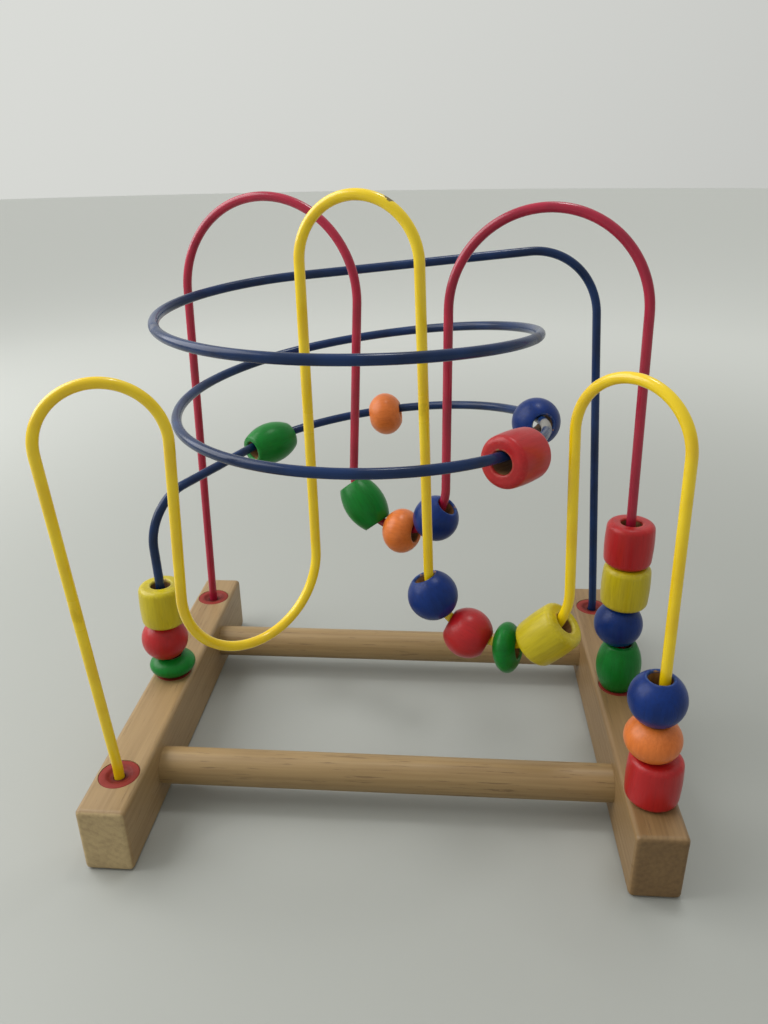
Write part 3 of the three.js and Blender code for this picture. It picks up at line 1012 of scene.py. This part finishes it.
@dataclass(frozen=True)
class Coil:
    """The coil of a wire, which climbs clockwise seen from above."""

    x: float = -10
    y: float = 13
    radius: float = 92.5
    start_height: float = 159
    pitch: float = 47
    start: float = 149
    end: float = -531
    side_tilt: float = 4
    front_tilt: float = 1.4
    drift_x: float = -6
    drift_y: float = 1.5
    entry_radius: float = 28
    exit_lead: float = 71
    exit_corner: tuple[float, float, float] = (114, 105.5, 264)
    exit_radius: float = 38
    step: float = 2.5

    def point(self, degrees: float) -> Vector:
        """A point of the coil at an angle."""
        angle = math.radians(degrees)
        turn = (self.start - degrees) / 360
        across = self.radius * math.cos(angle)
        away = self.radius * math.sin(angle)
        rise = across * math.tan(math.radians(self.side_tilt))
        rise -= away * math.tan(math.radians(self.front_tilt))
        return Vector(
            (
                self.x + self.drift_x * turn + across,
                self.y + self.drift_y * turn + away,
                self.start_height + self.pitch * turn + rise,
            )
        )

    def direction(self, degrees: float) -> Vector:
        """The way that the coil climbs at an angle."""
        sample = 0.01
        return (self.point(degrees - sample) - self.point(degrees + sample)).normalized()


def corner_angle(before: Vector, corner: Vector, after: Vector) -> float:
    """The angle between the two lines that meet at a corner."""
    return (before - corner).angle(after - corner)


@dataclass
class WirePath:
    """The middle line of a wire, as points close together on its bends."""

    bend_step: float = 3
    least_step: float = 0.02
    sample_step: float = 0.1
    points: list[Vector] = field(default_factory=list)

    def add_bend(self, before: Vector, corner: Vector, after: Vector, radius: float) -> None:
        """Adds a bend at a corner.

        Args:
            before: A point on the line into it.
            corner: The corner.
            after: A point on the line out of it.
            radius: The bend's radius.
        """
        to_before = (before - corner).normalized()
        to_after = (after - corner).normalized()
        half = to_before.angle(to_after) / 2
        centre = corner + (to_before + to_after).normalized() * (radius / math.sin(half))
        arm = corner + to_before * (radius / math.tan(half)) - centre
        sweep = math.pi - 2 * half
        steps = max(1, round(math.degrees(sweep) / self.bend_step))
        for index in range(steps + 1):
            angle = sweep * index / steps
            self.points.append(centre + arm * math.cos(angle) - to_before * (radius * math.sin(angle)))

    def add_route(self, corners: Sequence[Vector], radii: Sequence[float]) -> None:
        """Adds straight stretches with a bend at each corner between the ends."""
        self.points.append(corners[0])
        for before, corner, after, radius in zip(corners, corners[1:], corners[2:], radii):
            self.add_bend(before, corner, after, radius)
        self.points.append(corners[-1])

    def tidied(self) -> list[Vector]:
        """Its points without those that fall on each other."""
        kept = self.points[:1]
        for point in self.points[1:]:
            if (point - kept[-1]).length > self.least_step:
                kept.append(point)
        return kept

    def direction_near(self, place: Vector, reach: float) -> Vector:
        """The way that the wire runs past a place.

        Args:
            place: A place beside the wire.
            reach: How far along the wire to look either way.

        Returns:
            A unit vector along the wire.
        """
        line = np.array([tuple(point) for point in self.tidied()])
        stations = np.concatenate([[0], np.cumsum(np.linalg.norm(np.diff(line, axis=0), axis=1))])
        samples = np.arange(0, stations[-1], self.sample_step)
        dense = np.stack([np.interp(samples, stations, line[:, part]) for part in range(3)], axis=1)
        here = samples[np.argmin(np.linalg.norm(dense - np.array(place), axis=1))]
        ends = []
        for station in (here + reach, here - reach):
            ends.append(Vector([np.interp(station, stations, line[:, part]) for part in range(3)]))
        return (ends[0] - ends[1]).normalized()


@dataclass
class WireSet:
    """The yellow and red wires with their arches and troughs, and the blue wire with its coil."""

    radius: float = 2.5
    sides: int = 28
    seat_depth: float = 16
    foot_rise: float = 4
    foot_radius: float = 40
    yellow_turns: tuple[Turn, ...] = (
        Turn(-112, -82, 20, 56, 231),
        Turn(-63.5, -48, 45, 78, 90),
        Turn(-11, -24, -17, 56, 297.5),
        Turn(57, -32, -20, 73, 83),
        Turn(104, -64, -45, 56, 229.5),
    )
    red_turns: tuple[Turn, ...] = (
        Turn(-69.5, 73, -15, 107, 293),
        Turn(2, 42, -26, 62, 112),
        Turn(76.5, 23, -13, 97, 289),
    )
    coil: Coil = Coil()
    paths: dict[str, WirePath] = field(default_factory=dict)

    def build(self, base: Base) -> None:
        """Makes and dresses the wires.

        Args:
            base: The base that holds their ends.
        """
        foot = {(side, row): self.foot(base, side, row) for side in base.sides for row in base.rows}
        self.paths["yellow"] = self.turning_path(
            foot["left", "front"], self.yellow_turns, foot["right", "front"]
        )
        self.paths["red"] = self.turning_path(foot["left", "rear"], self.red_turns, foot["right", "middle"])
        self.paths["blue"] = self.coiled_path(foot["left", "middle"], foot["right", "rear"])
        coats = {"yellow": YELLOW_COAT, "red": RED_COAT, "blue": BLUE_COAT}
        tree = drawn_wire_tree()
        for colour, path in self.paths.items():
            seed = seat_points(f"{colour}_path", [point * MM for point in path.tidied()], joined=True)
            values = {"Wire_Radius": self.radius * MM, "Sides": self.sides}
            wire = tree.run(seed, f"{colour}_bent_wire", **values, Material=coats[colour].material())
            settle(wire, "base", [f"{colour}_wire"])

    def foot(self, base: Base, side: str, row: str) -> list[Vector]:
        """The end of a wire in its bushing and the top of its upright stub."""
        seat = base.seat(side, row) / MM
        return [seat - Vector((0, 0, self.seat_depth)), seat + Vector((0, 0, self.foot_rise))]

    def turning_path(self, first: list[Vector], turns: Sequence[Turn], last: list[Vector]) -> WirePath:
        """The path of a wire that winds up and down.

        Args:
            first: The foot where it starts.
            turns: Its arches and troughs in order.
            last: The foot where it ends.

        Returns:
            The path.
        """
        corners = [*first, *(corner for turn in turns for corner in turn.corners()), *reversed(last)]
        radii = [self.foot_radius]
        for index in range(2, len(corners) - 2, 2):
            before, start, end, after = corners[index - 1 : index + 3]
            reach = 1 / math.tan(corner_angle(before, start, end) / 2)
            reach += 1 / math.tan(corner_angle(start, end, after) / 2)
            radii += [(end - start).length / reach] * 2
        path = WirePath()
        path.add_route(corners, [*radii, self.foot_radius])
        return path

    def coiled_path(self, first: list[Vector], last: list[Vector]) -> WirePath:
        """The path of the wire that climbs into the coil and leaves it for its other foot."""
        coil = self.coil
        start = coil.point(coil.start)
        direction = coil.direction(coil.start)
        entry = start + direction * ((first[1].x - start.x) / direction.x)
        path = WirePath()
        path.add_route([*first, entry, start], [self.foot_radius, coil.entry_radius])
        steps = round((coil.start - coil.end) / coil.step)
        for index in range(steps + 1):
            path.points.append(coil.point(coil.start + (coil.end - coil.start) * index / steps))
        end = path.points[-1]
        lead = end + coil.direction(coil.end) * coil.exit_lead
        corner = Vector(coil.exit_corner)
        lead_radius = coil.exit_lead * math.tan(corner_angle(end, lead, corner) / 2)
        radii = [lead_radius, coil.exit_radius, self.foot_radius]
        path.add_route([end, lead, corner, *reversed(last)], radii)
        return path


# BEADS


@dataclass(frozen=True)
class BeadShape:
    """The size of a turned bead. A drum has rounded edges, and a barrel has narrower ends."""

    diameter: float
    length: float
    edge_radius: float = 0
    side_bow: float = 0
    end_diameter: float = 0


@dataclass
class BeadSet:
    """The beads, each turned to its shape and threaded where its solid is."""

    bore: float = 11
    mouth: float = 1
    segments: int = 72
    mouth_steps: int = 4
    mouth_rub: float = 0.86
    edge_steps: int = 7
    edge_rub: float = 0.55
    bow_shares: tuple[float, ...] = (-0.8, -0.4, 0, 0.4, 0.8)
    face_shares: tuple[float, ...] = (0.35, 0.7)
    face_rub: float = 0.3
    barrel_steps: int = 22
    ball_steps: int = 26
    bore_steps: int = 5
    bore_rub: float = 0.4
    bore_inset: float = 1.8
    seed_steps: tuple[float, ...] = (0.37, 0.61, 0.23)
    shapes: dict[BeadKind, BeadShape] = field(
        default_factory=lambda: {
            BeadKind.BALL: BeadShape(26, 22.5),
            BeadKind.RONDELLE: BeadShape(26, 19),
            BeadKind.DISC: BeadShape(26, 12),
            BeadKind.DRUM: BeadShape(25.5, 24, edge_radius=3.3, side_bow=0.35),
            BeadKind.BARREL: BeadShape(24.5, 28, end_diameter=16.5),
        }
    )
    wires: dict[str, str] = field(
        default_factory=lambda: {"front_trough": "yellow", "middle_trough": "red", "coil": "blue"}
    )

    def build(self, wires: WireSet) -> None:
        """Makes and dresses the beads.

        Args:
            wires: The wires that they are threaded on.
        """
        paints = {colour: finish.material() for colour, finish in BEAD_PAINTS.items()}
        names = [joint["child"] for joint in frame["joints"]]
        for index, node in enumerate(names):
            group, colour, kind = node.rsplit("_", 2)
            shape = self.shapes[BeadKind(kind)]
            mesh = turned_mesh(node, self.profile(shape), self.segments, closed=True)
            seed = np.tile((np.array(self.seed_steps) * index).astype(np.float32), len(mesh.vertices))
            carry(mesh, "seed", seed)
            middle = self.middle(node)
            axis = Vector((0, 0, 1))
            if group in self.wires:
                axis = wires.paths[self.wires[group]].direction_near(middle / MM, shape.length / 2)
            turn = Vector((0, 0, 1)).rotation_difference(axis).to_matrix().to_4x4()
            mesh.transform(Matrix.Translation(middle) @ turn)
            bead = shown_object(f"{node}_bead", mesh)
            mesh.materials.append(paints[colour])
            settle(bead, node, [node])

    def middle(self, node: str) -> Vector:
        """The middle of a bead's solid, in metres."""
        places = np.array([vertex.co for vertex in frame["nodes"][node].data.vertices])
        return Vector(np.unique(places.round(6), axis=0).mean(0))

    def profile(self, shape: BeadShape) -> list[ProfilePoint]:
        """The closed profile of a bead: its outside, its rounded mouths and its bore.

        Args:
            shape: The bead's size.

        Returns:
            The profile's points.
        """
        half = shape.length / 2
        bore = self.bore / 2
        mouth = self.mouth
        across = bore + mouth
        lower_mouth = arc((across, mouth - half), (mouth, mouth), 180, 270, self.mouth_steps, self.mouth_rub)
        upper_mouth = arc((across, half - mouth), (mouth, mouth), 90, 180, self.mouth_steps, self.mouth_rub)
        reach = half - self.bore_inset * mouth
        shares = [1 - 2 * index / self.bore_steps for index in range(self.bore_steps + 1)]
        inside = [ProfilePoint(bore, reach * share, self.bore_rub, 1.0) for share in shares]
        return [*lower_mouth, *self.outside(shape), *upper_mouth, *inside]

    def outside(self, shape: BeadShape) -> list[ProfilePoint]:
        """The outside of a bead from its lower mouth to its upper one."""
        half = shape.length / 2
        radius = shape.diameter / 2
        mouth = self.bore / 2 + self.mouth
        if shape.edge_radius:
            edge = shape.edge_radius
            bow = shape.side_bow
            rise = half - edge
            shoulder = radius - bow - edge
            face = shoulder - mouth
            lower = arc((shoulder, -rise), (edge, edge), -90, 0, self.edge_steps, self.edge_rub)
            upper = arc((shoulder, rise), (edge, edge), 0, 90, self.edge_steps, self.edge_rub)
            side = [ProfilePoint(radius - bow * share**2, rise * share) for share in self.bow_shares]
            ends = [mouth + face * share for share in self.face_shares]
            bottom = [ProfilePoint(place, -half, self.face_rub) for place in ends]
            top = [ProfilePoint(place, half, self.face_rub) for place in reversed(ends)]
            return [*bottom, *lower, *side, *upper, *top]
        if shape.end_diameter:
            bulge = radius - shape.end_diameter / 2
            bend = (half * half + bulge * bulge) / (2 * bulge)
            sweep = math.degrees(math.asin(half / bend))
            side = arc((radius - bend, 0), (bend, bend), -sweep, sweep, self.barrel_steps)
            rubbed = [ProfilePoint(side[0].radius, side[0].height, self.edge_rub), *side[1:-1]]
            return [*rubbed, ProfilePoint(side[-1].radius, side[-1].height, self.edge_rub)]
        half_axis = half / math.sqrt(1 - (mouth / radius) ** 2)
        sweep = math.degrees(math.acos(mouth / radius))
        return arc((0, 0), (radius, half_axis), -sweep, sweep, self.ball_steps)[1:-1]


# STUDIO


@dataclass(frozen=True)
class Lamp:
    """A soft rectangular light: where it stands, what it points at, its size and its power."""

    name: str
    place: tuple[float, float, float]
    goal: tuple[float, float, float]
    size: float
    power: float

    def build(self) -> None:
        """Makes the light."""
        data = bpy.data.lights.new(self.name, "AREA")
        data.shape = "SQUARE"
        data.size = self.size
        data.energy = self.power
        lamp = bpy.data.objects.new(self.name, data)
        lamp.location = self.place
        aim = Vector(self.goal) - Vector(self.place)
        lamp.rotation_euler = aim.to_track_quat("-Z", "Y").to_euler()
        bpy.context.scene.collection.objects.link(lamp)


@dataclass
class Studio:
    """A pale floor, soft light and the camera of the photograph."""

    focal_pixels: float = 807.94
    frame_pixels: float = 1024
    sensor: float = 36
    camera_place: tuple[float, float, float] = (28.76, -387.23, 312.4)
    pitch: float = 23.836
    heading: float = 4.617
    roll: float = -0.853
    clip_start: float = 0.01
    floor_reach: float = 8.0
    floor_sides: int = 96
    sky_side: tuple[float, float, float] = (-0.6, 0.45, 0.66)
    sky_dim: Colour = (0.26, 0.264, 0.257, 1.0)
    sky_bright: Colour = (0.76, 0.77, 0.735, 1.0)
    lamps: tuple[Lamp, ...] = (
        Lamp("window", (-0.8, 0.05, 0.72), (0, 0, 0.1), 0.9, 8.5),
        Lamp("ceiling", (0.2, 0.3, 1.7), (0, 0, 0.1), 0.28, 4.5),
    )

    def build(self) -> None:
        """Makes the floor, the lights and the camera."""
        self.build_camera()
        self.build_floor()
        for lamp in self.lamps:
            lamp.build()
        self.build_sky()
        bpy.context.scene.view_settings.view_transform = "Standard"

    def build_sky(self) -> None:
        """Makes a soft dome of light that is brighter on one side."""
        world = bpy.data.worlds.new("soft sky")
        world.use_nodes = True
        sky = Nodes(world.node_tree)
        place = sky.node("ShaderNodeTexCoord").outputs["Generated"]
        facing = sky.node("ShaderNodeVectorMath", {"operation": "DOT_PRODUCT"}, {0: place, 1: self.sky_side})
        share = sky.node("ShaderNodeMapRange", inputs={"Value": facing.outputs["Value"], "From Min": -1.0})
        colours = {0: share.outputs[0], 6: self.sky_dim, 7: self.sky_bright}
        tone = sky.node("ShaderNodeMix", {"data_type": "RGBA"}, colours)
        sky.feed(sky.tree.nodes["Background"].inputs["Color"], tone.outputs[2])
        bpy.context.scene.world = world

    def build_camera(self) -> None:
        """Makes the camera at the photograph's place."""
        turn = Matrix.Rotation(math.radians(self.roll), 3, "Z")
        turn = turn @ Matrix.Rotation(math.radians(self.pitch), 3, "X")
        turn = turn @ Matrix.Rotation(math.radians(self.heading), 3, "Y")
        right, down, ahead = turn @ Matrix(((1, 0, 0), (0, 0, -1), (0, 1, 0)))
        data = bpy.data.cameras.new("camera")
        data.sensor_width = self.sensor
        data.lens = self.focal_pixels * self.sensor / self.frame_pixels
        data.clip_start = self.clip_start
        camera = bpy.data.objects.new("camera", data)
        place = Matrix((right, -down, -ahead)).transposed().to_4x4()
        place.translation = Vector(self.camera_place) * MM
        camera.matrix_world = place
        bpy.context.scene.collection.objects.link(camera)
        bpy.context.scene.camera = camera

    def build_floor(self) -> None:
        """Makes the floor that the toy stands on."""
        shape = bmesh.new()
        reach = self.floor_reach
        bmesh.ops.create_circle(shape, cap_ends=True, radius=reach, segments=self.floor_sides)
        mesh = finished_mesh(shape, "floor")
        floor = shown_object("floor", mesh)
        mesh.materials.append(FloorFinish().material())


def main() -> None:
    """Builds the studio, the base, the wires and the beads in order."""
    logging.basicConfig(level=logging.INFO, format="%(message)s")
    Studio().build()
    base = Base()
    base.build()
    wires = WireSet()
    wires.build(base)
    BeadSet().build(wires)


if __name__ == "__main__":
    main()
